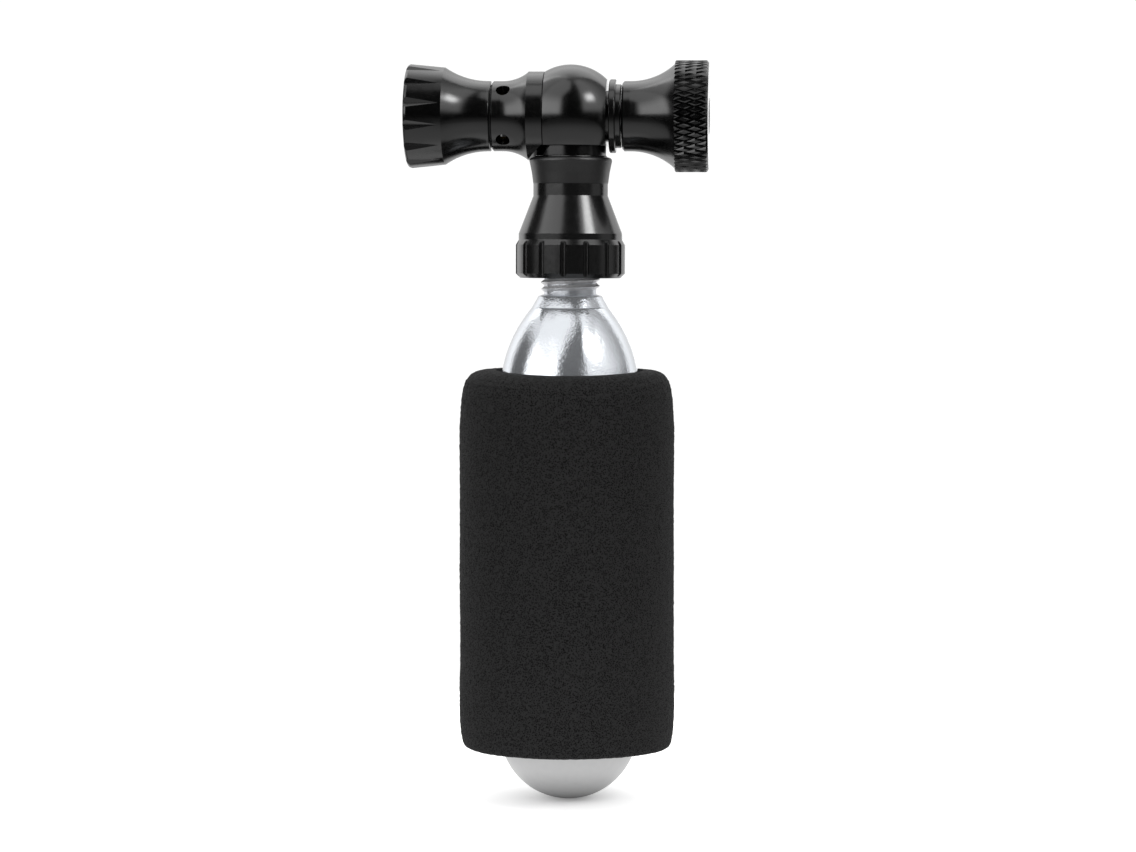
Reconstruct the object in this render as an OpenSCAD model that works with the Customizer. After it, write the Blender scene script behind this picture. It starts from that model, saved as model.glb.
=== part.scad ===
// Pocket tyre inflator for bicycles, fed by a threaded gas cartridge.
// A tee head carries a swivelling tyre chuck on the left, a needle valve with a knurled
// knob on the right, and a union collar below that draws the cartridge on to the piercing pin.
// Millimetres. Origin: lowest point of the cartridge, on its axis. +Z runs up the cartridge,
// +X along the head toward the knob, -X toward the chuck, -Y toward the front.

/* [Cartridge] */
// Diameter of the gas cartridge
cartridge_d = 22; // [20:0.5:24]
// Length of the cartridge, from dome to tip
cartridge_l = 89; // [82:0.5:96]
// Wall of the cartridge
cartridge_wall = 1.4; // [1:0.1:1.8]
// Radius of the long curve of its shoulder
shoulder_curve = 20; // [18:0.5:23]
// Radius of the hollow between shoulder and neck
neck_fillet = 3.5; // [2.5:0.25:4]
// Diameter of the lip at the foot of the thread
lip_d = 10.3; // [10:0.1:10.6]
// Outside diameter of the cartridge thread
thread_d = 9.5; // [9.2:0.1:9.8]
// Pitch of the cartridge thread
thread_pitch = 1.058; // [0.9:0.01:1.3]
// Length of the threaded neck above the lip
thread_l = 9.2; // [8.6:0.1:9.8]
// Bore of the cartridge neck
neck_bore_d = 4.4; // [4:0.1:5]
// Diameter of the sealing cap in the tip
seal_cap_d = 6; // [5.6:0.1:6.2]
// Thickness of the sealing cap
seal_cap_t = 0.6; // [0.4:0.05:0.8]
// How far the collar can still draw the cartridge up
travel_in = 3.1; // [2.4:0.1:3.4]

/* [Foam sleeve] */
// Outside diameter of the sleeve
sleeve_d = 33.8; // [30:0.2:38]
// Length of the sleeve
sleeve_l = 60; // [48:1:64]
// Height of the sleeve's lower edge
sleeve_start = 7.7; // [5:0.5:11]
// Radius of the sleeve's upper edge
sleeve_round = 1.8; // [1:0.1:2.4]
// How much the sleeve narrows toward its lower edge
sleeve_taper = 0.9; // [0.4:0.1:1.4]

/* [Union collar] */
// Length of the collar
collar_l = 19.1; // [18.4:0.1:19.6]
// Diameter of the fluted grip band
grip_d = 17.25; // [16.4:0.1:18]
// Length of the grip band
grip_l = 4.5; // [3.6:0.1:5.4]
// Diameter of the plain band above the grip
band_d = 16.35; // [15.4:0.05:16.4]
// Length of the plain band
band_l = 0.95; // [0.6:0.05:1.4]
// Diameter of the waist
waist_d = 11.78; // [11.2:0.1:12]
// Length of the waist
waist_l = 1.85; // [1.2:0.1:2.4]
// Diameter at the top of the flare
flare_d = 13; // [12.6:0.1:13.8]
// Height of the flare
flare_l = 3.6; // [3:0.1:4]
// Number of flutes in the grip band
flute_count = 15; // [10:1:18]
// Width of a flute
flute_w = 1; // [0.7:0.05:1.2]
// Length of the collar's bearing on the stem
bearing_l = 5.95; // [5:0.1:6.5]

/* [Tee body] */
// Diameter of the ball in the middle of the head
ball_d = 16.2; // [15.8:0.1:17]
// Distance from the stem axis to the left face
left_face = 4; // [3.8:0.1:4.4]
// Distance from the stem axis to the right face
right_face = 5.73; // [5.5:0.05:6]
// Distance from the head axis down to the flat under the ball
ball_drop = 4.67; // [4.4:0.05:5]
// Diameter of the stem where it shows
stem_d = 11.16; // [10.6:0.1:11.6]
// Height of stem that shows above the collar
stem_gap = 1.55; // [1.2:0.05:1.9]
// Distance from the head axis down to the end of the stem
stem_l = 15.5; // [15.2:0.1:16.2]
// Diameter of the stem inside the collar
journal_d = 8.8; // [8.4:0.1:9]
// Bore that brings the gas up the stem
inlet_d = 1.8; // [1.4:0.1:2]
// Section of the O-rings on the stem and the chuck base
ring_section = 0.8; // [0.7:0.05:0.9]

/* [Piercing pin] */
// Outside diameter of the pin
pin_d = 2.5; // [2.2:0.1:2.8]
// Bore of the pin
pin_bore_d = 1; // [0.8:0.1:1.2]
// Diameter of the pin's flange
flange_d = 6.7; // [6.2:0.1:7]
// Thickness of the pin's flange
flange_t = 0.9; // [0.7:0.1:1.1]
// How far the point stops short of a cartridge at rest
pin_gap = 0.4; // [0.2:0.1:0.8]
// Thickness of the sealing washer
washer_t = 1.8; // [1.5:0.1:2]
// How far the washer stands proud of the stem
washer_proud = 0.4; // [0.3:0.05:0.6]

/* [Needle valve] */
// Diameter of the hole in the valve seat
seat_hole_d = 1.6; // [1.2:0.1:1.8]
// Thickness of the valve seat
seat_t = 0.8; // [0.6:0.05:0.9]
// Diameter of the valve chamber
chamber_d = 4.8; // [4.4:0.1:5]
// Diameter of the bonnet's thread
bonnet_d = 7.94; // [7.4:0.1:8.4]
// Distance from the stem axis to the bonnet's inner end
bonnet_inner = 2.6; // [2.5:0.05:2.9]
// Gap between the ball and the bonnet's flange
bonnet_gap = 0.4; // [0.3:0.05:0.6]
// Diameter of the bonnet's flange
bonnet_flange_d = 11.56; // [11.2:0.1:12]
// Thickness of the bonnet's flange
bonnet_flange_t = 1.04; // [0.8:0.05:1.2]
// Diameter of the bonnet's boss
boss_d = 10; // [9.6:0.1:10.4]
// Length of the bonnet's boss
boss_l = 0.85; // [0.7:0.05:1]
// Diameter of the valve stem where the O-rings seal
spindle_d = 3; // [2.7:0.1:3.1]
// Diameter of the valve stem's thread
spindle_thread_d = 4.84; // [4.6:0.05:5]
// Size of the hexagon that drives the knob, across its corners
hexagon_d = 3.8; // [3.4:0.1:4.2]
// How far the valve opens
valve_lift = 1.2; // [0.9:0.1:1.2]

/* [Knob] */
// Gap between the bonnet and the closed knob
knob_gap = 0.14; // [0.1:0.02:0.3]
// Diameter of the knob's narrow end
knob_neck_d = 11; // [10.6:0.1:11.4]
// Length of the straight part of the narrow end
knob_neck_l = 1.29; // [0.9:0.05:1.6]
// Radius of the hollow curve of the knob
knob_curve = 10.2; // [9.8:0.2:13]
// Length of the hollow curve
knob_flare_l = 6.95; // [6.4:0.05:7.2]
// Diameter over the knurl
knurl_d = 17.44; // [17:0.1:18.4]
// Length of the knurl
knurl_l = 4.95; // [4.2:0.05:5.4]
// Number of grooves in each direction of the knurl
knurl_count = 54; // [48:1:58]
// Length along the knob from one crossing of the grooves to the next
knurl_step = 1.73; // [1.6:0.01:1.9]
// Depth of the knurl's grooves
knurl_depth = 0.28; // [0.2:0.02:0.32]
// Chamfer on the knob's end
knob_chamfer = 0.35; // [0.3:0.05:0.5]
// Diameter of the screw that holds the knob
screw_d = 2; // [1.6:0.1:2.2]
// Diameter of the screw's head
screw_head_d = 4.6; // [4:0.1:5]
// Height of the screw's head
screw_head_h = 1.6; // [1.3:0.1:1.9]
// Depth of the screw's hole in the spindle
screw_hole_l = 5.5; // [4:0.1:6.5]
// Thickness of the washer under the screw
knob_washer_t = 0.4; // [0.3:0.05:0.6]

/* [Chuck base] */
// Diameter of the base's flange
base_flange_d = 14; // [13.6:0.1:14.6]
// Length of the vented ring, flare included
vent_ring_l = 5.6; // [5.4:0.05:6.2]
// Radius of the ring's flare
vent_curve = 6.4; // [6:0.1:6.6]
// Diameter of the ring
vent_ring_d = 11; // [10.8:0.1:11.4]
// Bore of the ring
vent_bore_d = 7.4; // [7:0.1:7.8]
// Diameter of a vent hole
vent_hole_d = 2.2; // [1.8:0.1:2.4]
// Number of vent holes
vent_count = 4; // [3:1:5]
// Distance from the ring's end to the vent holes
vent_inset = 1.85; // [1.6:0.05:2]
// Diameter of the base's thread in the ball
spigot_d = 6.36; // [6:0.1:6.6]
// Gas passage through the base
passage_d = 1.8; // [1.4:0.1:2]

/* [Chuck] */
// Thickness of the washer that the chuck turns on
swivel_washer_t = 0.25; // [0.2:0.05:0.4]
// Length of the chuck
chuck_l = 13.2; // [12.6:0.1:13.6]
// Diameter of the chuck's narrow end
chuck_neck_d = 11.04; // [10.8:0.1:11.4]
// Length of the straight part of the narrow end
chuck_neck_l = 0.5; // [0.5:0.05:1]
// Radius of the hollow curve of the chuck
chuck_curve = 12; // [10:0.2:14]
// Length of the hollow curve
chuck_flare_l = 6.8; // [6.2:0.05:7]
// Diameter at the mouth
mouth_d = 16.3; // [15.8:0.1:17]
// Rounding of the mouth's outer edge
mouth_round = 0.55; // [0.3:0.05:0.7]
// Number of flutes on the chuck
chuck_flutes = 14; // [10:1:16]
// Diameter across the bottoms of the flutes
chuck_flute_d = 15.34; // [15:0.02:15.4]
// Diameter of the thread for the tyre valve
valve_thread_d = 7.74; // [7.6:0.02:7.9]
// Length of the thread for the tyre valve
valve_thread_l = 5; // [4.4:0.1:5.4]
// Diameter of the recess at the mouth
recess_d = 11.6; // [10:0.1:12]
// Thickness of the web that runs on the nozzle tube
web_t = 2; // [1.6:0.1:2.2]
// Diameter of the nozzle tube
tube_d = 5.2; // [4.8:0.1:5.4]
// Bore of the nozzle tube
tube_bore_d = 2.4; // [2:0.1:2.6]
// Diameter of the nozzle tube's head
tube_head_d = 8.4; // [8:0.1:8.6]
// Thickness of the nozzle tube's head
tube_head_t = 1.3; // [1.1:0.1:1.5]
// Thickness of the rubber grommet
grommet_t = 2; // [1.8:0.1:2.2]
// Hole in the grommet
grommet_hole_d = 3; // [2.8:0.1:3.4]
// Length of the depressor pin beyond the tube's head
depressor_l = 3.1; // [2.6:0.1:3.1]

/* [Fits] */
// Radial clearance of a part that turns or slides on another
run_fit = 0.06; // [0.04:0.01:0.08]
// Radial clearance between parts that are pressed or screwed together
seat_fit = 0.02; // [0.01:0.01:0.04]
// Radial clearance over the crest of the cartridge thread
thread_fit = 0.1; // [0.05:0.01:0.15]
// Gap round the cartridge inside the foam sleeve
sleeve_fit = 0.3; // [0.2:0.05:0.5]
// Gap between the collar and the flare of the chuck base
collar_gap = 0.15; // [0.1:0.05:0.35]
// Small chamfer on turned edges
edge = 0.15; // [0.1:0.01:0.2]

/* [Hidden] */
$fn = 96;

anodised = [0.07, 0.07, 0.08];
steel = [0.78, 0.79, 0.80];
brass = [0.80, 0.66, 0.36];
rubber = [0.13, 0.13, 0.13];
nylon = [0.88, 0.87, 0.82];
foam = [0.16, 0.16, 0.17];

// How far the turning parts are turned at rest, in degrees
collar_turn = 2.7;
chuck_turn = 0.4;
knob_turn = 1;

// Heights up the cartridge axis
cartridge_r = cartridge_d / 2;
lip_z = cartridge_l - thread_l;
root_r = thread_d / 2 - 0.61 * thread_pitch;
washer_z = cartridge_l + travel_in + run_fit;
stem_end_z = washer_z + washer_proud;
axis_z = stem_end_z + stem_l;
ball_bottom_z = axis_z - ball_drop;
collar_top_z = ball_bottom_z - stem_gap - run_fit;
collar_z = collar_top_z - collar_l;
clip_top_z = collar_top_z - bearing_l - run_fit;
clip_t = 0.8;
pin_tip_z = cartridge_l + pin_gap;
flange_z = washer_z + washer_t;
thread_bore_r = thread_d / 2 + thread_fit;

// Shoulder of the cartridge: an arc tangent to the body and to the fillet of the neck
fillet_r0 = lip_d / 2 + neck_fillet;
fillet_z = lip_z - 2 * edge;
shoulder_r0 = cartridge_r - shoulder_curve;
shoulder_z = fillet_z - sqrt(pow(shoulder_curve + neck_fillet, 2) - pow(fillet_r0 - shoulder_r0, 2));
tangent_z = shoulder_z + (fillet_z - shoulder_z) * shoulder_curve / (shoulder_curve + neck_fillet);

// Distances from the stem axis toward the knob
seat_x = -seat_t - 0.5;
seat_face = seat_x + seat_t;
flange_x = right_face + bonnet_gap;
boss_x = flange_x + bonnet_flange_t;
boss_end = boss_x + boss_l;
knob_x = boss_end + knob_gap;
flare_x = knob_x + knob_neck_l;
knurl_x = flare_x + knob_flare_l;
knob_end = knurl_x + knurl_l + knob_chamfer;
gland_lip = 0.5;
gland_x = bonnet_inner + gland_lip;
gland_ring = (chamber_d - spindle_d) / 2 - 2 * seat_fit - run_fit;
gland_washer_t = 0.3;
gland_end = gland_x + 2 * gland_ring + gland_washer_t;
shoulder_x = bonnet_inner - valve_lift - 2 * run_fit;
spindle_x = shoulder_x + run_fit;
socket_lip = 0.45;
screw_seat = knob_end - screw_head_h - knob_washer_t - 0.9;
hexagon_end = screw_seat - 0.3;

// Distances from the stem axis toward the chuck
base_flange_end = flare_d / 2 + collar_gap;
base_end = base_flange_end + vent_ring_l;
spigot_end = left_face - 1.4;
port_end = spigot_end - ring_section;
base_boss = left_face + 3.7;
tube_start = left_face + 0.9;
chuck_x = base_end + swivel_washer_t;
web_end = chuck_x + web_t;
head_x = web_end + run_fit;
head_end = head_x + tube_head_t;
grommet_end = head_end + grommet_t;
chuck_end = chuck_x + chuck_l;
recess_x = chuck_end - 1.3;
thread_x = recess_x - valve_thread_l;
chuck_flare_x = chuck_x + chuck_neck_l;
band_x = chuck_flare_x + chuck_flare_l;
band_r = chuck_neck_d / 2 + chuck_curve - sqrt(pow(chuck_curve, 2) - pow(chuck_flare_l, 2));

// Places a part that is turned about the head axis: its +Z points to the knob or to the chuck
module toward_knob() {
    translate([0, 0, axis_z]) rotate([0, 90, 0]) children();
}

module toward_chuck() {
    translate([0, 0, axis_z]) rotate([0, -90, 0]) children();
}

module tube(outer_r, inner_r, from, to) {
    translate([0, 0, from]) difference() {
        cylinder(r = outer_r, h = to - from);
        translate([0, 0, -1]) cylinder(r = inner_r, h = to - from + 2);
    }
}

module bore(r, from, to) {
    translate([0, 0, from]) cylinder(r = r, h = to - from);
}

module o_ring(centre_r, section_r, at) {
    rotate_extrude() translate([centre_r, at]) circle(r = section_r, $fn = 48);
}

// Tee body: a ball with two turned faces, a flat underside and the stem
module tee_body() {
    clip_r = journal_d / 2 - 0.5;
    ring_r = journal_d / 2 - ring_section;
    color(anodised) difference() {
        union() {
            intersection() {
                translate([0, 0, axis_z]) sphere(d = ball_d);
                translate([-left_face, -ball_d, ball_bottom_z])
                    cube([left_face + right_face, 2 * ball_d, ball_d + ball_drop]);
            }
            bore(stem_d / 2, ball_bottom_z - stem_gap, ball_bottom_z);
            rotate_extrude() polygon([
                [0, stem_end_z], [journal_d / 2 - edge, stem_end_z],
                [journal_d / 2, stem_end_z + edge],
                [journal_d / 2, ball_bottom_z - stem_gap / 2], [0, ball_bottom_z - stem_gap / 2]
            ]);
        }
        toward_chuck() {
            bore(spigot_d / 2 + seat_fit, port_end, left_face + 1);
            bore(seat_hole_d / 2 + 0.2, -seat_x - 1, port_end + 1);
        }
        toward_knob() {
            bore(chamber_d / 2, seat_x, bonnet_inner + 1);
            bore(bonnet_d / 2 + seat_fit, bonnet_inner, right_face + 1);
        }
        bore(inlet_d / 2, stem_end_z, axis_z);
        bore(flange_d / 2 + seat_fit, stem_end_z - 1, flange_z + flange_t);
        tube(stem_d, clip_r, clip_top_z - clip_t - seat_fit, clip_top_z + seat_fit);
        tube(stem_d, ring_r, collar_top_z - 2.4 - ring_section, collar_top_z - 2.4);
    }
}

module valve_seat() {
    color(nylon) toward_knob()
        tube(chamber_d / 2 - seat_fit, seat_hole_d / 2, seat_x, seat_face);
}

// Bonnet: closes the right port, guides the spindle and seals it
module valve_bonnet() {
    color(anodised) toward_knob() difference() {
        rotate_extrude() polygon([
            [0, bonnet_inner], [bonnet_d / 2 - edge, bonnet_inner],
            [bonnet_d / 2, bonnet_inner + edge], [bonnet_d / 2, flange_x],
            [bonnet_flange_d / 2 - edge, flange_x], [bonnet_flange_d / 2, flange_x + edge],
            [bonnet_flange_d / 2, boss_x - edge], [bonnet_flange_d / 2 - edge, boss_x],
            [boss_d / 2, boss_x], [boss_d / 2, boss_end - edge],
            [boss_d / 2 - edge, boss_end], [0, boss_end]
        ]);
        bore(spindle_d / 2 + run_fit, bonnet_inner - 1, gland_x + 1);
        bore(chamber_d / 2, gland_x, gland_end);
        bore(spindle_thread_d / 2 + run_fit, gland_end, boss_end + 1);
    }
}

module spindle_o_rings() {
    centre_r = spindle_d / 2 + run_fit + gland_ring / 2;
    color(rubber) toward_knob() for (i = [0, 1])
        o_ring(centre_r, gland_ring / 2 - seat_fit, gland_x + (i + 0.5) * gland_ring);
}

module gland_washer() {
    color(brass) toward_knob() tube(chamber_d / 2 - seat_fit, spindle_d / 2 + run_fit,
        gland_end - gland_washer_t, gland_end);
}

// Chuck base: flange, flared ring with its vents, and the spigot screwed into the ball.
// The flange is relieved from below round the stem and the collar.
module chuck_base() {
    ring_r = vent_ring_d / 2;
    flange_r = base_flange_d / 2;
    relief_r = base_flange_end + 0.1;
    land = 0.05;
    flare_end = base_flange_end
        + sqrt(pow(vent_curve, 2) - pow(vent_curve + ring_r - flange_r + land, 2));
    color(anodised) difference() {
        union() {
            difference() {
                toward_chuck() rotate_extrude() polygon([
                    [0, left_face], [flange_r - edge, left_face], [flange_r, left_face + edge],
                    [flange_r, base_flange_end], [0, base_flange_end]
                ]);
                bore(relief_r, collar_z, ball_bottom_z);
            }
            toward_chuck() rotate_extrude() {
                difference() {
                    polygon([
                        [0, base_flange_end], [flange_r, base_flange_end],
                        [flange_r, flare_end], [0, flare_end]
                    ]);
                    translate([ring_r + vent_curve, flare_end]) circle(r = vent_curve);
                }
                polygon([
                    [0, flare_end], [ring_r, flare_end], [ring_r, base_end - edge],
                    [ring_r - edge, base_end], [0, base_end]
                ]);
            }
            toward_chuck() bore(spigot_d / 2, spigot_end, left_face);
        }
        toward_chuck() {
            bore(vent_bore_d / 2, base_boss, base_end + 1);
            bore(tube_d / 2 - 0.4, tube_start, base_boss + 1);
            bore(passage_d / 2, spigot_end - 1, tube_start + 1);
            for (i = [0 : vent_count - 1])
                rotate([0, 0, (i + 0.5) * 360 / vent_count])
                    translate([0, 0, base_end - vent_inset]) rotate([0, 90, 0])
                        bore(vent_hole_d / 2, tube_d / 2, ring_r + 1);
        }
    }
}

module chuck_base_o_ring() {
    color(rubber) toward_chuck() o_ring(spigot_d / 2 - ring_section / 2,
        ring_section / 2 - seat_fit, (port_end + spigot_end) / 2);
}

// Nozzle tube: a hollow screw whose head keeps the chuck on and lets it turn
module nozzle_tube() {
    color(brass) toward_chuck() difference() {
        union() {
            bore(tube_d / 2 - 0.4 - seat_fit, tube_start, base_boss);
            bore(tube_d / 2, base_boss, head_x);
            rotate_extrude() polygon([
                [0, head_x], [tube_head_d / 2, head_x], [tube_head_d / 2, head_end - edge],
                [tube_head_d / 2 - edge, head_end], [0, head_end]
            ]);
        }
        bore(tube_bore_d / 2, tube_start - 1, head_end + 1);
        bore(tube_bore_d / 2 + 0.4, head_end - 1, head_end + 1);
    }
}

// Depressor: a pin on a three-ported disc, pressed into the tube's head
module valve_depressor() {
    disc_r = tube_bore_d / 2 + 0.4 - seat_fit;
    color(steel) toward_chuck() difference() {
        union() {
            bore(disc_r, head_end - 1, head_end);
            rotate_extrude() polygon([
                [0, head_end - 1], [0.5, head_end - 1], [0.5, head_end + depressor_l - 0.2],
                [0.3, head_end + depressor_l], [0, head_end + depressor_l]
            ]);
        }
        for (i = [0 : 2]) rotate([0, 0, i * 120]) translate([disc_r - 0.55, 0, 0])
            bore(0.35, head_end - 2, head_end + 1);
    }
}

module swivel_washer() {
    color(nylon) toward_chuck()
        tube(chuck_neck_d / 2 - 0.6, tube_d / 2 + run_fit, base_end, chuck_x);
}

// Hollow pin with a slanted point, held in the stem by its flange
module piercing_pin() {
    slant = 35;
    color(steel) difference() {
        union() {
            bore(flange_d / 2, flange_z, flange_z + flange_t);
            bore(pin_d / 2, pin_tip_z, flange_z + flange_t);
        }
        bore(pin_bore_d / 2, pin_tip_z - 1, flange_z + flange_t + 1);
        translate([pin_d / 2, 0, pin_tip_z]) rotate([0, slant, 0])
            translate([-3 * pin_d, -pin_d, -2 * pin_d]) cube(2 * pin_d * [2, 1, 1]);
    }
}

module cartridge_washer() {
    color(rubber) tube(flange_d / 2, pin_d / 2 + seat_fit, washer_z, flange_z);
}

// Open ring in the stem's groove that carries the collar
module collar_clip() {
    color(steel) difference() {
        tube(thread_bore_r - run_fit, journal_d / 2 - 0.5 + seat_fit,
            clip_top_z - clip_t, clip_top_z);
        translate([0, -0.9, clip_top_z - clip_t - 1]) cube([journal_d, 1.8, clip_t + 2]);
    }
}

module collar_o_ring() {
    color(rubber) o_ring(journal_d / 2 - ring_section / 2 + seat_fit / 2,
        ring_section / 2 - seat_fit, collar_top_z - 2.4 - ring_section / 2);
}

// Union collar: fluted grip, cone, waist and flare, threaded inside for the cartridge
module union_collar() {
    grip_r = grip_d / 2;
    chamfer = 0.7;
    top_round = 0.6;
    top_step = (grip_d - band_d) * 0.9;
    grip_top = collar_z + chamfer + grip_l;
    band_z = grip_top + top_step;
    flare_z = collar_top_z - top_round - edge - flare_l;
    waist_z = flare_z - waist_l;
    flute_top = grip_top + 0.3;
    color(anodised) rotate([0, 0, collar_turn]) difference() {
        rotate_extrude() {
            polygon([
                [0, collar_z], [grip_r - chamfer, collar_z], [grip_r, collar_z + chamfer],
                [grip_r, grip_top], [band_d / 2, band_z], [band_d / 2, band_z + band_l],
                [waist_d / 2, waist_z], [waist_d / 2, flare_z],
                [waist_d / 2 + (flare_d - waist_d) * 0.2, flare_z + flare_l / 2],
                [flare_d / 2, flare_z + flare_l], [flare_d / 2 - top_round, flare_z + flare_l],
                [flare_d / 2 - top_round, collar_top_z - edge], [0, collar_top_z - edge]
            ]);
            translate([flare_d / 2 - top_round, collar_top_z - edge - top_round])
                circle(r = top_round, $fn = 48);
            polygon([
                [0, collar_top_z - 2 * edge], [flare_d / 2 - top_round, collar_top_z - 2 * edge],
                [flare_d / 2 - top_round - edge, collar_top_z], [0, collar_top_z]
            ]);
        }
        bore(journal_d / 2 + run_fit, collar_z, collar_top_z + 1);
        bore(thread_bore_r, collar_z - 1, collar_top_z - bearing_l);
        rotate_extrude() polygon([
            [0, collar_z - 1], [thread_bore_r + chamfer + 1, collar_z - 1],
            [thread_bore_r, collar_z + chamfer], [0, collar_z + chamfer]
        ]);
        for (i = [0 : flute_count - 1])
            rotate([0, 0, i * 360 / flute_count]) translate([grip_r + 0.03, 0, 0]) {
                bore(flute_w / 2, collar_z - 1, flute_top, $fn = 24);
                translate([0, 0, flute_top]) sphere(d = flute_w, $fn = 24);
            }
    }
}

// Cartridge outline grown or shrunk by a wall: dome, body and shoulder
module cartridge_outline(wall) {
    intersection() {
        translate([0, cartridge_r]) circle(r = cartridge_r - wall);
        square([cartridge_r, cartridge_r]);
    }
    translate([0, cartridge_r]) square([cartridge_r - wall, shoulder_z - cartridge_r]);
    intersection() {
        translate([shoulder_r0, shoulder_z]) circle(r = shoulder_curve - wall);
        translate([0, shoulder_z]) square([cartridge_r, tangent_z - shoulder_z]);
    }
}

module cartridge_shell() {
    color(steel) difference() {
        rotate_extrude() {
            difference() {
                union() {
                    cartridge_outline(0);
                    translate([0, tangent_z]) square([fillet_r0, fillet_z - tangent_z]);
                }
                translate([fillet_r0, fillet_z]) circle(r = neck_fillet);
            }
            polygon([
                [0, fillet_z], [lip_d / 2, fillet_z], [lip_d / 2, lip_z],
                [root_r, lip_z + 0.4], [root_r, cartridge_l - 0.5],
                [root_r - 0.3, cartridge_l], [0, cartridge_l]
            ]);
        }
        rotate_extrude() cartridge_outline(cartridge_wall);
        bore(neck_bore_d / 2, shoulder_z, cartridge_l + 1);
        bore(seal_cap_d / 2 + seat_fit, cartridge_l - seal_cap_t - 0.2, cartridge_l + 1);
    }
}

// Sealing cap, with the hole that the pin goes through
module cartridge_seal_cap() {
    color(steel) tube(seal_cap_d / 2, pin_d / 2 + 0.15,
        cartridge_l - seal_cap_t - 0.2, cartridge_l - 0.2);
}

// Foam sleeve: a thick tube, rounded at its upper edge and drawn in at its lower one
module foam_sleeve() {
    outer_r = sleeve_d / 2;
    inner_r = cartridge_r + sleeve_fit;
    top_z = sleeve_start + sleeve_l;
    color(foam) rotate_extrude() {
        polygon([
            [inner_r, sleeve_start], [outer_r - sleeve_taper, sleeve_start],
            [outer_r - sleeve_taper / 3, sleeve_start + 2.4],
            [outer_r, sleeve_start + 8], [outer_r, top_z - sleeve_round],
            [inner_r, top_z - sleeve_round]
        ]);
        translate([inner_r + sleeve_round, top_z - 2 * sleeve_round])
            square([outer_r - inner_r - 2 * sleeve_round, 2 * sleeve_round]);
        for (r = [inner_r + sleeve_round, outer_r - sleeve_round])
            translate([r, top_z - sleeve_round]) circle(r = sleeve_round, $fn = 48);
    }
}

// Plunger: a cone that closes the seat and stays still while the spindle turns behind it
module valve_plunger() {
    seat_r = seat_hole_d / 2;
    cone_l = 0.5;
    body_r = seat_r + cone_l;
    cone_x = seat_face + 2 * seat_fit;
    color(brass) toward_knob() rotate_extrude() polygon([
        [0, cone_x - cone_l], [seat_r - cone_l, cone_x - cone_l],
        [body_r, cone_x + cone_l], [body_r, shoulder_x - 0.6],
        [chamber_d / 2 - 0.2, shoulder_x - 0.6], [chamber_d / 2 - 0.2, shoulder_x],
        [0.65, shoulder_x], [0.65, spindle_x + socket_lip + run_fit],
        [0.95, spindle_x + socket_lip + run_fit], [0.95, spindle_x + socket_lip + 0.5],
        [0, spindle_x + socket_lip + 0.5]
    ]);
}

// Spindle: sealed journal, thread and the hexagon that drives the knob
module valve_spindle() {
    thread_start = gland_end + 0.2;
    color(steel) toward_knob() difference() {
        union() {
            bore(spindle_d / 2, spindle_x, thread_start);
            bore(spindle_thread_d / 2, thread_start, knob_x);
            bore(hexagon_d / 2, knob_x, hexagon_end, $fn = 6);
        }
        bore(0.65 + run_fit, spindle_x - 1, spindle_x + 1);
        bore(0.95 + run_fit, spindle_x + socket_lip, spindle_x + socket_lip + 0.5 + run_fit);
        bore(screw_d / 2 + seat_fit, hexagon_end - screw_hole_l, hexagon_end + 1);
    }
}

// V groove of a given depth in a surface at X = 0, running along Z
module groove(depth, length) {
    cut = 0.3;
    linear_extrude(height = length, center = true)
        polygon([[-depth, 0], [cut, -depth - cut], [cut, depth + cut]]);
}

// Knob: hollow-curved body with a diamond knurl cut by two crossing sets of V grooves,
// one set a little shallower than the other
module control_knob() {
    neck_r = knob_neck_d / 2;
    knurl_r = knurl_d / 2;
    lead = atan(PI * knurl_r / knurl_count / knurl_step);
    color(anodised) toward_knob() rotate([0, 0, knob_turn]) difference() {
        rotate_extrude() {
            difference() {
                polygon([
                    [0, knob_x], [neck_r - 2 * edge, knob_x], [neck_r, knob_x + 2 * edge],
                    [neck_r, flare_x], [knurl_r, flare_x], [knurl_r, knurl_x], [0, knurl_x]
                ]);
                translate([neck_r + knob_curve, flare_x]) circle(r = knob_curve);
            }
            polygon([
                [0, knurl_x], [knurl_r - edge, knurl_x], [knurl_r, knurl_x + edge],
                [knurl_r, knurl_x + knurl_l],
                [knurl_r - knob_chamfer, knob_end], [0, knob_end]
            ]);
        }
        for (side = [-1, 1], i = [0 : knurl_count - 1])
            rotate([0, 0, (i + (side + 1) / 4) * 360 / knurl_count])
                translate([knurl_r, 0, knurl_x + knurl_l / 2]) rotate([side * lead, 0, 0])
                    groove(knurl_depth * (1 - (side + 1) * 0.05), knurl_l + 2);
        rotate([0, 0, -knob_turn])
            bore(hexagon_d / 2 + seat_fit, knob_x - 1, screw_seat + 1, $fn = 6);
        bore(screw_head_d / 2 + 0.6, screw_seat, knob_end + 1);
    }
}

module knob_washer() {
    color(steel) toward_knob() tube(screw_head_d / 2 + 0.4, screw_d / 2 + seat_fit,
        screw_seat, screw_seat + knob_washer_t);
}

module knob_screw() {
    head_x = screw_seat + knob_washer_t;
    color(steel) toward_knob() difference() {
        union() {
            bore(screw_d / 2, hexagon_end - screw_hole_l + 0.5, head_x);
            rotate_extrude() polygon([
                [0, head_x], [screw_head_d / 2, head_x],
                [screw_head_d / 2, head_x + screw_head_h - 2 * edge],
                [screw_head_d / 2 - 2 * edge, head_x + screw_head_h], [0, head_x + screw_head_h]
            ]);
        }
        bore(screw_d / 2, head_x + screw_head_h * 0.4, head_x + screw_head_h + 1, $fn = 6);
    }
}

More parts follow.
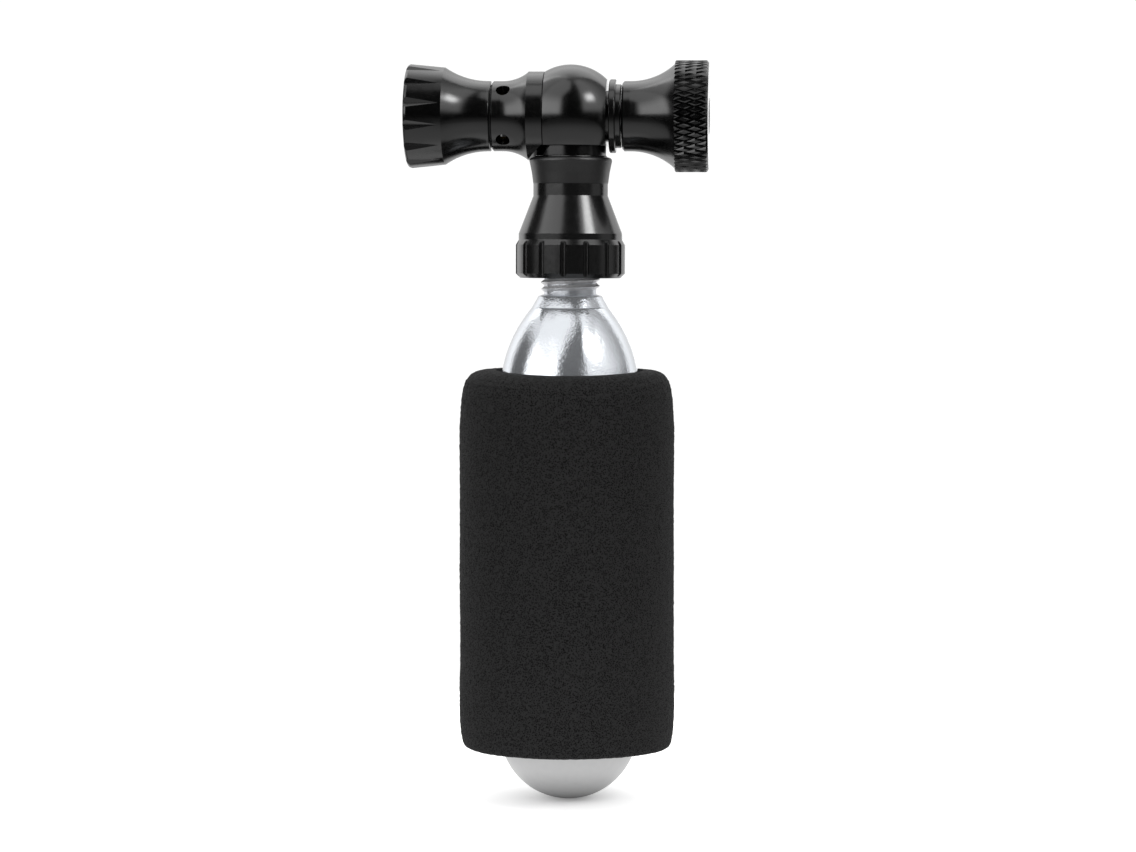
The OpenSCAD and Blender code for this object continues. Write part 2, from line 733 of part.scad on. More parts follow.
// Chuck: turns on the nozzle tube and screws on to the tyre valve
module chuck_cap() {
    neck_r = chuck_neck_d / 2;
    mouth_r = mouth_d / 2;
    round_x = chuck_end - mouth_round;
    flute_h = mouth_r + 1 - chuck_flute_d / 2;
    color(anodised) toward_chuck() rotate([0, 0, chuck_turn]) difference() {
        rotate_extrude() {
            difference() {
                polygon([
                    [0, chuck_x], [neck_r - edge, chuck_x], [neck_r, chuck_x + edge],
                    [neck_r, chuck_flare_x], [band_r, chuck_flare_x],
                    [band_r, band_x], [0, band_x]
                ]);
                translate([neck_r + chuck_curve, chuck_flare_x]) circle(r = chuck_curve);
            }
            polygon([
                [0, band_x], [band_r, band_x], [mouth_r, round_x],
                [mouth_r - mouth_round, round_x], [mouth_r - mouth_round, chuck_end],
                [0, chuck_end]
            ]);
            translate([mouth_r - mouth_round, round_x]) circle(r = mouth_round, $fn = 48);
        }
        for (i = [0 : chuck_flutes - 1])
            rotate([0, 0, i * 360 / chuck_flutes]) translate([chuck_flute_d / 2, 0, band_x - 2])
                linear_extrude(height = chuck_l) polygon([
                    [0, 0], [flute_h, -flute_h * tan(60)], [flute_h, flute_h * tan(60)]
                ]);
        bore(tube_d / 2 + run_fit, chuck_x - 1, web_end + 1);
        bore(tube_head_d / 2 + 0.3, web_end, grommet_end);
        bore(valve_thread_d / 2 + 0.2, grommet_end, thread_x);
        bore(valve_thread_d / 2, thread_x, chuck_end);
        bore(recess_d / 2, recess_x, chuck_end + 1);
    }
}

module valve_grommet() {
    color(rubber) toward_chuck()
        tube(tube_head_d / 2 + 0.3 - seat_fit, grommet_hole_d / 2, head_end, grommet_end);
}

tee_body();
valve_seat();
valve_bonnet();
spindle_o_rings();
gland_washer();
chuck_base();
chuck_base_o_ring();
nozzle_tube();
valve_depressor();
swivel_washer();
piercing_pin();
cartridge_washer();
collar_clip();
collar_o_ring();
union_collar();
cartridge_shell();
cartridge_seal_cap();
foam_sleeve();
valve_plunger();
valve_spindle();
control_knob();
knob_washer();
knob_screw();
chuck_cap();
valve_grommet();
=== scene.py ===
"""Bicycle-tyre inflator on a threaded gas cartridge, with a foam sleeve: the visual model.

Everything is in metres in the frame of the CAD model: the origin is the lowest point of the
cartridge's dome, +Z runs up to the head, +X to the knob, and -Y to the camera.
"""

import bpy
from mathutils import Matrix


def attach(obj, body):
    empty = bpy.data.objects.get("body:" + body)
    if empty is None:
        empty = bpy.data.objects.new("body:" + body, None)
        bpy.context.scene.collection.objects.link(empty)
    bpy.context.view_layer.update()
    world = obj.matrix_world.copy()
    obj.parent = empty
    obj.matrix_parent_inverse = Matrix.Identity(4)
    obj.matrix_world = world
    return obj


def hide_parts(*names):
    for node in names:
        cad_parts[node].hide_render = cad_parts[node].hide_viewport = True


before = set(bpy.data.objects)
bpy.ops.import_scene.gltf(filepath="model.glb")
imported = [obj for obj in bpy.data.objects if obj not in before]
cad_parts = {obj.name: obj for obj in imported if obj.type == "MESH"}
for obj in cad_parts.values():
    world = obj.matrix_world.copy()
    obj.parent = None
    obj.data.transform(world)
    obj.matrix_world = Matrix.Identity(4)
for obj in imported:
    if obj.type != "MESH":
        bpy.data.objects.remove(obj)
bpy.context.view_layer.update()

import math

import bpy
from mathutils import Matrix, Vector, noise

MM = 0.001
IMAGE_W = 1136                      # width of the photograph in pixels
HEAD_AXIS_Z = 108.06 * MM           # height of the axis of chuck, valve and knob

CAMERA_AT_MM = (33.476, -448.891, 86.531)
CAMERA_TURN_DEG = (4.3, 3.464, 0.2307)  # yaw to the left, pitch down, roll
FOCAL_PX = 2850
SENSOR_MM = 36

AMBIENT = 0.012                     # the studio's light where no box or flag is
SEEN_WHITE = 1.05                   # the background as the camera sees it


# ---------------------------------------------------------------- camera

def make_camera():
    """Stands in front of the object, a little to its right and a little above its middle."""
    yaw, pitch, roll = (math.radians(a) for a in CAMERA_TURN_DEG)
    forward = Vector((-math.sin(yaw) * math.cos(pitch), math.cos(yaw) * math.cos(pitch),
                      -math.sin(pitch)))
    side = Vector((math.cos(yaw), math.sin(yaw), 0))
    above = side.cross(forward)
    right = math.cos(roll) * side + math.sin(roll) * above
    up = math.cos(roll) * above - math.sin(roll) * side
    data = bpy.data.cameras.new("camera")
    data.sensor_width = SENSOR_MM
    data.lens = SENSOR_MM * FOCAL_PX / IMAGE_W
    data.clip_start, data.clip_end = 0.01, 20
    camera = bpy.data.objects.new("camera", data)
    bpy.context.scene.collection.objects.link(camera)
    turn = Matrix((right, up, -forward)).transposed().to_4x4()
    camera.matrix_world = Matrix.Translation(Vector(CAMERA_AT_MM) * MM) @ turn
    bpy.context.scene.camera = camera


# ---------------------------------------------------------------- shader helpers

def put(tree, kind, inputs=None, **settings):
    """Adds a node; an input is a number, a colour or another node's output."""
    node = tree.nodes.new(kind)
    for name, value in settings.items():
        setattr(node, name, value)
    for name, value in (inputs or {}).items():
        if isinstance(value, bpy.types.NodeSocket):
            tree.links.new(value, node.inputs[name])
        else:
            node.inputs[name].default_value = value
    return node


def maths(tree, operation, *values):
    """The output of a Math node."""
    return put(tree, "ShaderNodeMath", dict(enumerate(values)), operation=operation).outputs[0]


def smooth(tree, value, start, end, low=0.0, high=1.0):
    """Runs smoothly from low at start to high at end."""
    if start > end:
        start, end, low, high = end, start, high, low
    ends = {"Value": value, "From Min": start, "From Max": end, "To Min": low, "To Max": high}
    return put(tree, "ShaderNodeMapRange", ends,
               interpolation_type="SMOOTHSTEP").outputs["Result"]


def window(tree, value, low, high, soft):
    """1 between low and high, 0 outside, with soft edges; high may be a node's output."""
    short = maths(tree, "SUBTRACT", value, high)
    return maths(tree, "MULTIPLY", smooth(tree, value, low - soft, low + soft),
                 smooth(tree, short, soft, -soft))


# ---------------------------------------------------------------- studio

def soft_boxes(tree, azimuth, height):
    """The sum of the soft boxes; angles in degrees, azimuth 0 toward the camera."""
    left_fall = smooth(tree, height, 20, 46, 2.6, 1.3)
    left_edge = smooth(tree, height, 38, 66, -20, 2)
    right_fall = smooth(tree, azimuth, 66, 118, 1.35, 0.45)
    # azimuth low/high, elevation low/high, softness of each, strength
    boxes = (
        (-78, left_edge, 3, 83, 6, 3, left_fall),  # large soft box, front left, to the table
        (31, 118, 9, 83, 5, 7, right_fall),        # soft box, front right
        (43, 66, 31, 44, 6, 6, 10.8),              # its bright middle
        (-130, -80, 34, 88, 6, 7, 1.1),            # what joins it to the background, left
        (72, 108, -8, 10, 8, 6, 0.3),              # dim wall beyond the table, right
    )
    total = None
    for az0, az1, el0, el1, soft_az, soft_el, strength in boxes:
        patch = maths(tree, "MULTIPLY", window(tree, azimuth, az0, az1, soft_az),
                      window(tree, height, el0, el1, soft_el))
        patch = maths(tree, "MULTIPLY", patch, strength)
        total = patch if total is None else maths(tree, "ADD", total, patch)
    return total


def white_background(tree, azimuth, height, depth):
    """The white wall behind the object, brighter toward its sides."""
    wall = maths(tree, "ADD", smooth(tree, azimuth, -112, -124), smooth(tree, azimuth, 119, 131))
    for level in (smooth(tree, height, -42, -30),            # no wall below the table's edge
                  smooth(tree, height, 92, 64, 0.5, 1.35),   # dimmer overhead
                  smooth(tree, height, 24, 48, 0.72, 1.0),   # and near the table
                  smooth(tree, depth, 0.97, 0.6, 0.85, 1.5)):
        wall = maths(tree, "MULTIPLY", wall, level)
    return wall


def paint_world():
    """Soft boxes and dark flags all round, by direction; the camera itself sees plain white."""
    world = bpy.data.worlds.new("studio")
    bpy.context.scene.world = world
    world.use_nodes = True
    tree = world.node_tree
    tree.nodes.clear()
    way = put(tree, "ShaderNodeTexCoord").outputs["Generated"]
    axes = put(tree, "ShaderNodeSeparateXYZ", {0: way}).outputs
    front = maths(tree, "MULTIPLY", axes["Y"], -1.0)
    turn = maths(tree, "ARCTAN2", axes["X"], front)
    azimuth = maths(tree, "MULTIPLY", turn, 180 / math.pi)
    height = maths(tree, "MULTIPLY", maths(tree, "ARCSINE", axes["Z"]), 180 / math.pi)

    straight_behind = smooth(tree, axes["Y"], 0.982, 0.992, 0.0, 1.0)
    overhead = maths(tree, "MULTIPLY", smooth(tree, height, 56, 88), 0.34)
    total = maths(tree, "ADD", soft_boxes(tree, azimuth, height),
                  white_background(tree, azimuth, height, axes["Y"]))
    total = maths(tree, "ADD", total, straight_behind)
    total = maths(tree, "MAXIMUM", total, overhead)
    total = maths(tree, "ADD", total, AMBIENT)

    seen = put(tree, "ShaderNodeBackground", {"Color": (1, 1, 1, 1), "Strength": SEEN_WHITE})
    lit = put(tree, "ShaderNodeBackground", {"Color": (1, 1, 1, 1), "Strength": total})
    path = put(tree, "ShaderNodeLightPath")
    mix = put(tree, "ShaderNodeMixShader", {0: path.outputs["Is Camera Ray"],
                                            1: lit.outputs[0], 2: seen.outputs[0]})
    put(tree, "ShaderNodeOutputWorld", {"Surface": mix.outputs[0]})


def disc(name, z, radius, centre_y, material):
    """A flat round sheet of the studio floor."""
    steps = 160
    points = [(radius * math.cos(2 * math.pi * i / steps),
               radius * math.sin(2 * math.pi * i / steps) + centre_y, z) for i in range(steps)]
    mesh = bpy.data.meshes.new(name)
    mesh.from_pydata(points, [], [tuple(range(steps))])
    mesh.materials.append(material)
    piece = bpy.data.objects.new(name, mesh)
    bpy.context.scene.collection.objects.link(piece)
    return piece


def from_contact(tree):
    """How far a point of the floor is from where the dome stands."""
    point = put(tree, "ShaderNodeTexCoord").outputs["Object"]
    return put(tree, "ShaderNodeVectorMath", {0: point}, operation="LENGTH").outputs["Value"]


def floor_material(name):
    """An empty material for a sheet of the floor, and its tree."""
    material = bpy.data.materials.new(name)
    material.use_nodes = True
    material.node_tree.nodes.clear()
    return material, material.node_tree


def make_table():
    """The white table top that the camera sees; its glow is weakest by the dome, a painted
    contact shadow.
    """
    material, tree = floor_material("table_top_painted_shadow")
    matt = put(tree, "ShaderNodeBsdfDiffuse", {"Color": (0.95, 0.95, 0.95, 1)})
    # painted contact shadow: the table's glow is dimmest within a few mm of the dome and grows
    # outward
    lift = smooth(tree, from_contact(tree), 0.003, 0.012, 0.2, 0.42)
    glow = put(tree, "ShaderNodeEmission", {"Color": (1, 1, 1, 1), "Strength": lift})
    both = put(tree, "ShaderNodeAddShader", {0: matt.outputs[0], 1: glow.outputs[0]})
    put(tree, "ShaderNodeOutputMaterial", {"Surface": both.outputs[0]})
    table = disc("table", -0.02 * MM, 0.21, -0.1, material)
    table.visible_glossy = table.visible_diffuse = False


def make_painted_reflection_table():
    """A glowing sheet seen only in reflections, a painted reflection of the lit table: dark at
    the contact by a painted contact shadow, fading toward its edge.
    """
    material, tree = floor_material("painted_reflection_card")
    distance = from_contact(tree)
    # painted contact shadow by the dome, then a painted falloff of the reflected table's glow
    # away from it
    level = maths(tree, "MULTIPLY", smooth(tree, distance, 0.001, 0.0135, 0.08, 1.0),
                  smooth(tree, distance, 0.02, 0.09, 1.0, 0.62))
    level = maths(tree, "MULTIPLY", level, smooth(tree, distance, 0.08, 0.45, 1.0, 0.2))
    glow = put(tree, "ShaderNodeEmission", {"Color": (1, 1, 1, 1), "Strength": level})
    put(tree, "ShaderNodeOutputMaterial", {"Surface": glow.outputs[0]})
    painted_reflection_sheet = disc("table_painted_reflection", -0.03 * MM, 0.45, -0.4, material)
    painted_reflection_sheet.visible_camera = painted_reflection_sheet.visible_shadow = False


# ---------------------------------------------------------------- materials

def new_material(name, **values):
    """A material with a Principled shader; returns the material, its tree and the shader."""
    material = bpy.data.materials.new(name)
    material.use_nodes = True
    tree = material.node_tree
    shader = tree.nodes["Principled BSDF"]
    for socket, value in values.items():
        shader.inputs[socket.replace("_", " ")].default_value = value
    return material, tree, shader


def place(tree):
    """Position on the object in metres, which is the same in every pose."""
    return put(tree, "ShaderNodeTexCoord").outputs["Object"]


def spot_noise(tree, scale, detail=2.0, roughness=0.5):
    """Even noise with features about 1/scale metres across."""
    settings = {"Vector": place(tree), "Scale": scale, "Detail": detail, "Roughness": roughness}
    return put(tree, "ShaderNodeTexNoise", settings).outputs["Fac"]


def lathe_lines(tree, axis, per_metre, detail=3.0):
    """Noise that is the same all round an axis, as the tool leaves on turned metal."""
    parts = put(tree, "ShaderNodeSeparateXYZ", {0: place(tree)}).outputs
    if axis == "X":
        along, a = parts["X"], maths(tree, "SUBTRACT", parts["Z"], HEAD_AXIS_Z)
    else:
        along, a = parts["Z"], parts["X"]
    out = maths(tree, "SQRT", maths(tree, "ADD", maths(tree, "MULTIPLY", a, a),
                                    maths(tree, "MULTIPLY", parts["Y"], parts["Y"])))
    line = put(tree, "ShaderNodeCombineXYZ", {"X": along, "Y": out, "Z": 0.0}).outputs[0]
    return put(tree, "ShaderNodeTexNoise", {"Vector": line, "Scale": per_metre,
                                            "Detail": detail}).outputs["Fac"]


def bumped(tree, shader, height, distance, strength=1.0, edge=None):
    """Drives the normal by a height; edge is the radius in metres of softly worn edges."""
    inputs = {"Height": height, "Distance": distance, "Strength": strength}
    if edge:
        inputs["Normal"] = put(tree, "ShaderNodeBevel", {"Radius": edge}, samples=4).outputs[0]
    tree.links.new(put(tree, "ShaderNodeBump", inputs).outputs[0], shader.inputs["Normal"])


def tint(tree, fac, dark, light):
    """A colour between two by a factor."""
    return put(tree, "ShaderNodeMix", {"Factor": fac, "A": (*dark, 1), "B": (*light, 1)},
               data_type="RGBA").outputs["Result"]


def grey(level):
    """A neutral colour."""
    return (level, level, level)


def anodised(axis, name="black_anodised", worn=True, lift=0.0, matt=None):
    """Black anodised aluminium: satin, with faint rings from turning and softly worn edges.

    lift lightens its black; matt is a band in Z as low, high and added roughness.
    """
    material, tree, shader = new_material(name + "_" + axis, IOR=1.66)
    rings = lathe_lines(tree, axis, 9000)
    grain = spot_noise(tree, 26000, 2)
    fine = maths(tree, "ADD", maths(tree, "MULTIPLY", rings, 0.7),
                 maths(tree, "MULTIPLY", grain, 0.3))
    dark = [lift + level for level in (0.001, 0.001, 0.0011)]
    light = [lift + level for level in (0.0021, 0.0021, 0.0022)]
    tree.links.new(tint(tree, spot_noise(tree, 900, 4), dark, light), shader.inputs["Base Color"])
    rough = smooth(tree, spot_noise(tree, 1500, 4), 0.3, 0.7, 0.16, 0.2)
    if matt:
        low, high, extra = matt
        z = put(tree, "ShaderNodeSeparateXYZ", {0: place(tree)}).outputs["Z"]
        band = maths(tree, "MULTIPLY", window(tree, z, low, high, 0.1 * MM), extra)
        rough = maths(tree, "ADD", rough, band)
    tree.links.new(rough, shader.inputs["Roughness"])
    bumped(tree, shader, fine, 0.0000015, 0.4, edge=0.05 * MM if worn else None)
    return material


def polished():
    """Plated steel: bright and slightly wavy on the shoulder, satin at the foot's dome."""
    material, tree, shader = new_material("polished_steel", Metallic=0.74)
    parts = put(tree, "ShaderNodeSeparateXYZ", {0: place(tree)}).outputs
    clean = tint(tree, spot_noise(tree, 300, 3), (0.645, 0.67, 0.71), (0.705, 0.73, 0.765))
    dull = tint(tree, spot_noise(tree, 900, 3), (0.53, 0.53, 0.535), (0.58, 0.58, 0.58))
    bright_z, satin_z = 22 * MM, 8 * MM
    mixed = put(tree, "ShaderNodeMix", {"Factor": smooth(tree, parts["Z"], bright_z, satin_z),
                                        "A": clean, "B": dull}, data_type="RGBA")
    tree.links.new(mixed.outputs["Result"], shader.inputs["Base Color"])
    satin = smooth(tree, parts["Z"], bright_z, satin_z, 0.07, 0.3)
    neck = smooth(tree, parts["Z"], 79.3 * MM, 80 * MM, 0.0, 0.2)
    rough = maths(tree, "ADD", maths(tree, "ADD", satin, neck),
                  maths(tree, "MULTIPLY", spot_noise(tree, 2500, 3), 0.03))
    tree.links.new(rough, shader.inputs["Roughness"])

    # a long shallow dent that leans to the right as it climbs the shoulder
    lean = smooth(tree, parts["Z"], 68.5 * MM, 72.5 * MM, 0.0, 0.09)
    dent = maths(tree, "MULTIPLY", maths(tree, "MULTIPLY", parts["X"], lean),
                 window(tree, parts["X"], -3.2 * MM, 3.4 * MM, 1.2 * MM))
    front = smooth(tree, parts["Y"], -2 * MM, -4 * MM)
    dented = put(tree, "ShaderNodeBump", {"Height": maths(tree, "MULTIPLY", dent, front),
                                          "Distance": 1.0, "Strength": 1.0})

    # slow waves drawn out along the axis, dimples and a fine grain on the shoulder, tool rings
    stretched = put(tree, "ShaderNodeMapping", {"Vector": place(tree), "Scale": (1, 1, 0.45)})
    waves = put(tree, "ShaderNodeTexNoise", {"Vector": stretched.outputs[0], "Scale": 170.0,
                                             "Detail": 2.0}).outputs["Fac"]
    dimples = smooth(tree, parts["Z"], 45 * MM, 62 * MM, 0.05, 0.3)
    waves = maths(tree, "ADD", waves,
                  maths(tree, "MULTIPLY", spot_noise(tree, 700, 5, 0.65), dimples))
    frayed = maths(tree, "MULTIPLY", spot_noise(tree, 2800, 3, 0.6), dimples)
    waves = maths(tree, "ADD", waves, maths(tree, "MULTIPLY", frayed, 0.45))
    fine = maths(tree, "MULTIPLY", lathe_lines(tree, "Z", 7000, 2), 0.004)
    wavy = put(tree, "ShaderNodeBump", {"Height": maths(tree, "ADD", waves, fine),
                                        "Distance": 0.00028, "Strength": 0.5,
                                        "Normal": dented.outputs[0]})
    tree.links.new(wavy.outputs[0], shader.inputs["Normal"])
    return material


def turned(name, dark, light, axis, rough=0.28, metallic=1.0):
    """Plain turned metal or plastic with rings from the tool."""
    material, tree, shader = new_material(name + "_" + axis, Metallic=metallic)
    tree.links.new(tint(tree, spot_noise(tree, 1200, 4), dark, light),
                   shader.inputs["Base Color"])
    rings = lathe_lines(tree, axis, 5000)
    tree.links.new(smooth(tree, rings, 0.3, 0.7, rough - 0.06, rough + 0.08),
                   shader.inputs["Roughness"])
    bumped(tree, shader, lathe_lines(tree, axis, 8000), 0.000006, 0.6, edge=0.08 * MM)
    return material


def rubber():
    """Black moulded seal rubber with a dry, faintly pitted skin."""
    material, tree, shader = new_material("seal_rubber", IOR=1.5)
    tree.links.new(tint(tree, spot_noise(tree, 2500, 4), grey(0.009), grey(0.02)),
                   shader.inputs["Base Color"])
    tree.links.new(smooth(tree, spot_noise(tree, 5000, 3), 0.3, 0.7, 0.5, 0.68),
                   shader.inputs["Roughness"])
    bumped(tree, shader, spot_noise(tree, 9000, 3), 0.00001, 0.5)
    return material


def foam():
    """Black closed-cell foam with a cut skin: fine cells and small open pits."""
    material, tree, shader = new_material("foam", IOR=1.3, Roughness=0.9, Specular_IOR_Level=0.3)
    cells = put(tree, "ShaderNodeTexVoronoi", {"Vector": place(tree), "Scale": 4200.0},
                feature="F1").outputs["Distance"]
    height = maths(tree, "ADD", maths(tree, "MULTIPLY", smooth(tree, cells, 0.15, 0.6), 0.7),
                   maths(tree, "MULTIPLY", spot_noise(tree, 3600, 3, 0.6), 0.6))
    shade = smooth(tree, height, 0.4, 1.0)
    tree.links.new(tint(tree, shade, grey(0.0004), (0.0235, 0.0235, 0.0238)),
                   shader.inputs["Base Color"])
    bumped(tree, shader, height, 0.00013, 0.85)
    return material


def finish_of(kind, axis):
    """The material of a slot, for a piece that was turned about an axis."""
    return {
        "black_anodised": lambda: anodised(axis),
        "polished_steel": polished,
        "steel": lambda: turned("steel", (0.5, 0.5, 0.51), grey(0.62), axis),
        "brass": lambda: turned("brass", (0.72, 0.52, 0.2), (0.83, 0.65, 0.3), axis, 0.25),
        "seal_rubber": rubber,
        "nylon": lambda: turned("nylon", grey(0.02), grey(0.04), axis, 0.42, 0.0),
        "foam": foam,
    }[kind]()


def paint_nodes():
    """Gives each CAD node the material of its slot, turned about its own axis."""
    upright = {"union_collar", "collar_clip", "piercing_pin", "cartridge_seal_cap"}
    made = {}
    for name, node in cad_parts.items():
        kind = node.data.materials[0].name.split(".")[0]
        axis = "Z" if name in upright else "X"
        if (kind, axis) not in made:
            made[kind, axis] = finish_of(kind, axis)
        node.data.materials[0] = made[kind, axis]
    # the knurl stays crisp, and the collar is a little lighter, with a matt flare at its top
    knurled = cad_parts["control_knob"].data
    knurled.materials[0] = anodised("X", "black_knurled", worn=False)
    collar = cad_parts["union_collar"].data
    flare = (97.5 * MM, 101.5 * MM, 0.24)
    collar.materials[0] = anodised("Z", "black_collar", lift=0.006, matt=flare)
    return made


# ---------------------------------------------------------------- new pieces

def mesh_piece(name, points, faces, body, material):
    """A smooth mesh object, with its sharp edges kept, that rides on a body."""
    mesh = bpy.data.meshes.new(name)
    mesh.from_pydata(points, [], faces)
    mesh.validate()
    mesh.polygons.foreach_set("use_smooth", [True] * len(mesh.polygons))
    mesh.set_sharp_from_angle(angle=math.radians(35))
    mesh.update()
    piece = bpy.data.objects.new(name, mesh)
    bpy.context.scene.collection.objects.link(piece)
    mesh.materials.append(material)
    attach(piece, body)
    return piece


def grid_faces(rings, per_ring, closed_rings=False):
    """Quads between rings of points; with closed_rings the last ring joins the first."""
    faces = []
    for i in range(rings if closed_rings else rings - 1):
        for j in range(per_ring):
            a, b = i * per_ring, ((i + 1) % rings) * per_ring
            k = (j + 1) % per_ring
            faces.append((a + j, a + k, b + k, b + j))
    return faces


def arc(centre, radius, start, end, steps):
    """Points of an arc in the section, by angles in degrees from the +radius direction."""
    angles = [math.radians(start + (end - start) * i / steps) for i in range(steps + 1)]
    return [(centre[0] + radius * math.cos(a), centre[1] + radius * math.sin(a)) for a in angles]


def cartridge_section():
    """The cartridge's section in mm, from the foot up the outside and down the inside."""
    radius, wall, shoulder = 11.0, 1.4, 20.8
    lip_r, lip_z, tip = 5.05, 79.8, 89.0         # the step below the neck, and the neck's end
    root_r, seat_r, hole_r = 4.1, 3.02, 2.2      # thread root, cap seat, hole in the neck
    seat_depth, inner_top = 0.8, 78.2
    low_z, ring_z, ring_depth = 64.54, 77.9, 0.09
    centre = (radius - shoulder, low_z)
    swing = math.degrees(math.asin((ring_z - low_z) / shoulder))
    inner_swing = math.degrees(math.asin((inner_top - low_z) / (shoulder - wall)))

    section = arc((0, radius), radius, -90, 0, 48)[1:]
    section += [(radius, radius + (low_z - radius) * i / 24) for i in range(1, 24)]
    side = arc(centre, shoulder, 0, swing, 150)
    ring_r = side[-1][0]
    cone_r, cone_z = ring_r - 0.08, ring_z + 0.14
    section += side + [(ring_r - ring_depth, ring_z + 0.07), (cone_r, cone_z)]
    for i in range(1, 13):
        t = i / 12
        section.append((cone_r + (lip_r - cone_r) * t, cone_z + (lip_z - cone_z) * t))
    section += [(lip_r - 0.08, lip_z + 0.05), (root_r, lip_z + 0.3), (root_r, tip - 0.5),
                (root_r - 0.3, tip), (seat_r, tip), (seat_r, tip - seat_depth),
                (hole_r, tip - seat_depth), (hole_r, inner_top)]
    section += arc(centre, shoulder - wall, inner_swing, 0, 24)
    section += arc((0, radius), radius - wall, 0, -90, 24)[:-1]
    return section, wall


def make_cartridge(material):
    """The drawn steel shell: dome, body, full shoulder with its fine ring, and neck."""
    section, wall = cartridge_section()
    around = 288
    points = []
    for r, z in section:
        for j in range(around):
            a = 2 * math.pi * j / around
            points.append((r * math.cos(a) * MM, r * math.sin(a) * MM, z * MM))
    faces = grid_faces(len(section), around)
    foot, inside, last = len(points), len(points) + 1, (len(section) - 1) * around
    points += [(0, 0, 0), (0, 0, wall * MM)]
    for j in range(around):
        k = (j + 1) % around
        faces.append((foot, k, j))
        faces.append((inside, last + j, last + k))
    piece = mesh_piece("cartridge_steel", points, faces, "cartridge", material)
    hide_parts("cartridge_shell")


def make_thread(material):
    """The neck's right-hand thread: one ridge, wound up and faded at its ends; in mm."""
    pitch, root_r, crest_r = 1.058, 4.06, 4.68
    low, high, per_turn = 80.38, 88.6, 72
    run_out, least = 0.6, 0.02                   # turns that an end fades over, height left there
    count = int((high - low) / pitch * per_turn)
    # the ridge's profile: height as a share, and place along the axis in pitches
    profile = ((0, -0.47), (0.86, -0.09), (1, 0), (0.86, 0.09), (0, 0.47), (-0.12, 0))
    points = []
    for i in range(count + 1):
        turn = i / per_turn
        fade = min(1.0, turn / run_out, (count - i) / per_turn / run_out)
        angle = 2 * math.pi * turn
        for height, up in profile:
            r = root_r + (crest_r - root_r) * height * max(fade, least)
            points.append(((r * math.cos(angle)) * MM, (r * math.sin(angle)) * MM,
                           (low + pitch * turn + up * pitch) * MM))
    n = len(profile)
    faces = grid_faces(count + 1, n)
    faces.append(tuple(range(n))[::-1])
    faces.append(tuple(range(count * n, (count + 1) * n)))
    mesh_piece("cartridge_thread", points, faces, "cartridge", material)


# The foam sleeve in mm: its ends, full radius and bore
SLEEVE_BOTTOM, SLEEVE_TOP = 8.3, 68.15
SLEEVE_R, SLEEVE_BORE = 16.95, 11.12
SLEEVE_MIDDLE = 37.7
RIM_FROM, FOOT_TO = 58, 18          # the top rim bends above the first, the foot below the second
# How far its skin is drawn in from the full radius, at depths in mm from the cut end
TOP_DRAW = ((0, 3.6), (0.12, 2.9), (0.33, 2.3), (0.8, 1.6), (1.7, 0.9), (3, 0.5), (4.9, 0.25),
            (9, 0))
FOOT_DRAW = ((0, 1.35), (0.1, 0.95), (0.3, 0.6), (0.7, 0.4), (1.5, 0.22), (2.6, 0.08),
             (4.2, -0.05), (8, -0.12), (15, 0))


def drawn_in(depth, profile):
    """The profile's value at a depth, by straight lines between its points."""
    for (d0, v0), (d1, v1) in zip(profile, profile[1:]):
        if depth <= d1:
            return v0 + (v1 - v0) * max(0.0, depth - d0) / (d1 - d0)
    return 0.0


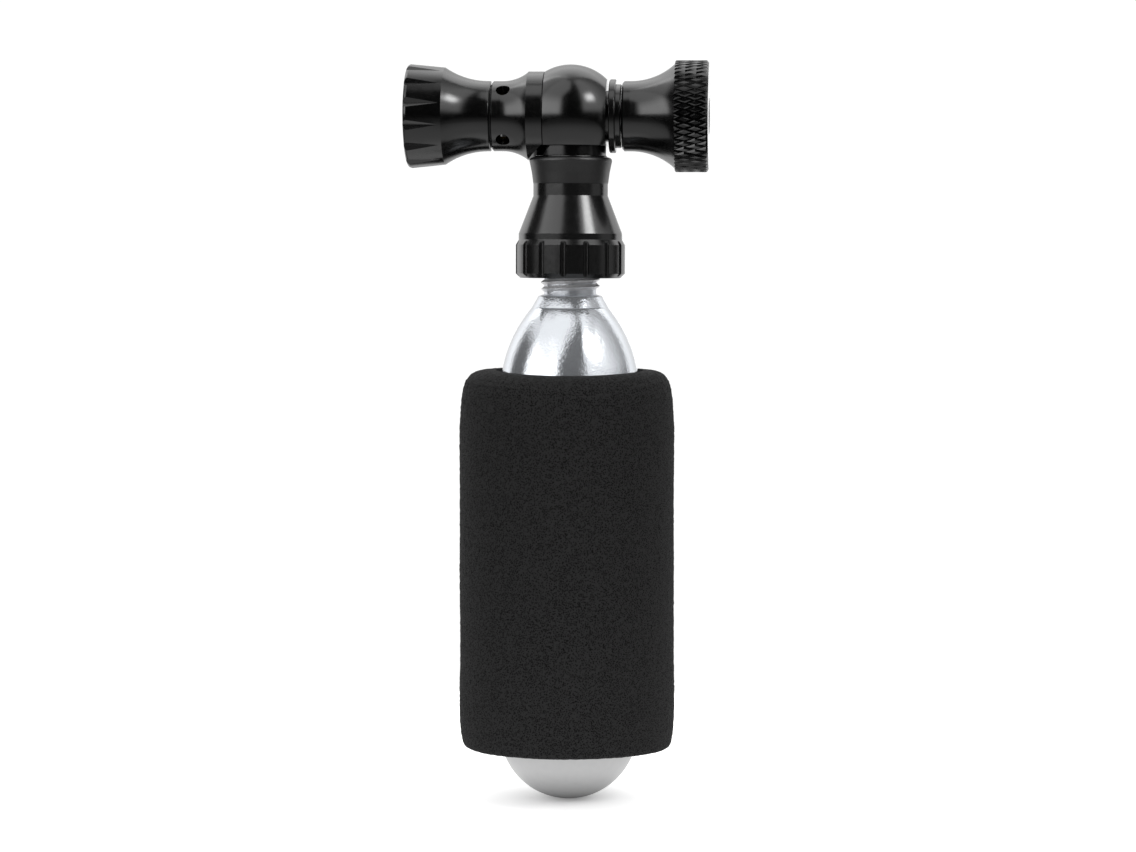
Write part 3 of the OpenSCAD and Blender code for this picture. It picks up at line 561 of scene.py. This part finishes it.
def sleeve_outline():
    """The sleeve's section as radius and height, all the way round."""
    inner, wall, ends, bore = 0.5, 170, 14, 40  # bevel at the bore; steps of each stretch
    section = []
    length = SLEEVE_TOP - SLEEVE_BOTTOM
    for i in range(wall + 1):
        t = i / wall
        t = t - 0.11 * math.sin(2 * math.pi * t)  # closer together toward the ends
        up, down = t * length, (1 - t) * length
        section.append((SLEEVE_R - drawn_in(up, FOOT_DRAW) - drawn_in(down, TOP_DRAW),
                        SLEEVE_BOTTOM + up))
    edge_top, edge_foot = SLEEVE_R - TOP_DRAW[0][1], SLEEVE_R - FOOT_DRAW[0][1]
    edge_in = SLEEVE_BORE + inner
    for i in range(1, ends):
        section.append((edge_top + (edge_in - edge_top) * i / ends, SLEEVE_TOP))
    for i in range(1, bore):
        section.append((SLEEVE_BORE, SLEEVE_TOP - inner - (length - 2 * inner) * i / bore))
    for i in range(1, ends):
        section.append((edge_in + (edge_foot - edge_in) * i / ends, SLEEVE_BOTTOM))
    return section


def ripple(ca, sa, z, around, along, depth):
    """Noise on the sleeve's skin, with its scale round the sleeve and along it."""
    return noise.noise(Vector((ca * around, sa * around, z * along))) * depth


def sleeve_point(ca, sa, r, z):
    """A point of the sleeve in mm, uneven, leaning a little, its rims bent at the front."""
    front = max(0.0, -sa)
    outer = max(0.0, (r - SLEEVE_BORE) / (SLEEVE_R - SLEEVE_BORE))
    near_top = max(0.0, (z - RIM_FROM) / (SLEEVE_TOP - RIM_FROM))
    near_foot = max(0.0, (FOOT_TO - z) / 10)
    swell = ripple(ca, sa, z, 1.4, 0.07, 0.08)
    fuzz = ripple(ca, sa, z, 26, 1.6, 0.09)
    fuzz += ripple(ca, sa, z, 60, 3.7, 0.05)
    radius = r + outer * (swell + fuzz)
    lift = outer * (fuzz + front ** 2 * 0.62 * near_foot
                    + 0.35 * front * max(0.0, ca) * near_foot)
    lift -= front ** 2 * near_top * (0.38 + 0.6 * outer)
    lean = (z - SLEEVE_MIDDLE) / 60
    shift = -0.37 - 0.3 * lean                   # the whole sleeve sits a little to the left
    return radius * ca + shift * outer, radius * sa, z + lift


def make_sleeve(material):
    """A cut length of foam tube that replaces the plain one."""
    section = sleeve_outline()
    around = 420
    points = []
    for i in range(around):
        a = 2 * math.pi * i / around
        for r, z in section:
            points.append(tuple(v * MM for v in sleeve_point(math.cos(a), math.sin(a), r, z)))
    faces = [tuple(reversed(f)) for f in grid_faces(around, len(section), closed_rings=True)]
    piece = mesh_piece("foam_tube", points, faces, "sleeve", material)
    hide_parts("foam_sleeve")


# ---------------------------------------------------------------- scene

make_camera()
paint_world()
make_table()
make_painted_reflection_table()
finishes = paint_nodes()
make_cartridge(finishes["polished_steel", "X"])
neck_steel = turned("neck_steel", (0.74, 0.74, 0.75), (0.84, 0.84, 0.85), "Z", 0.36, 0.6)
make_thread(neck_steel)
make_sleeve(finishes["foam", "X"])
bpy.context.scene.view_settings.view_transform = "Standard"
